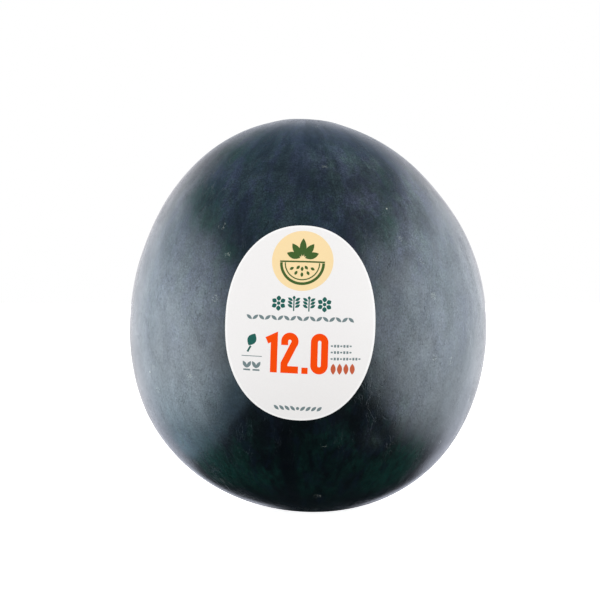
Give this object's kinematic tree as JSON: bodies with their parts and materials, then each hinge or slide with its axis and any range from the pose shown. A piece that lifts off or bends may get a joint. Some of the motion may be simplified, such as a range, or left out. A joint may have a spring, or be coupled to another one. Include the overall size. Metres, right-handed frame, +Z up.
{
  "type": "whole watermelon",
  "caption": "Whole black-skinned watermelon, egg-shaped, standing on its blunt end, with an oval paper label on its front and a trimmed stem in its top dimple.",
  "frame": {"origin": "middle of the bottom, on the surface the fruit stands on", "axes": "+Z up, from the blossom end to the stem end; the oval label faces -Y; +X is to the right when the label is seen from the front"},
  "size_m": [0.2442, 0.246, 0.2677],
  "materials": {
    "rind": "waxy satin",
    "dry_stem": "dry, matt",
    "label_paper": "semi-matt coated paper"
  },
  "bodies": {
    "root": {"melon": "rind", "stem_stub": "dry_stem", "label": "label_paper"}
  },
  "joints": []
}
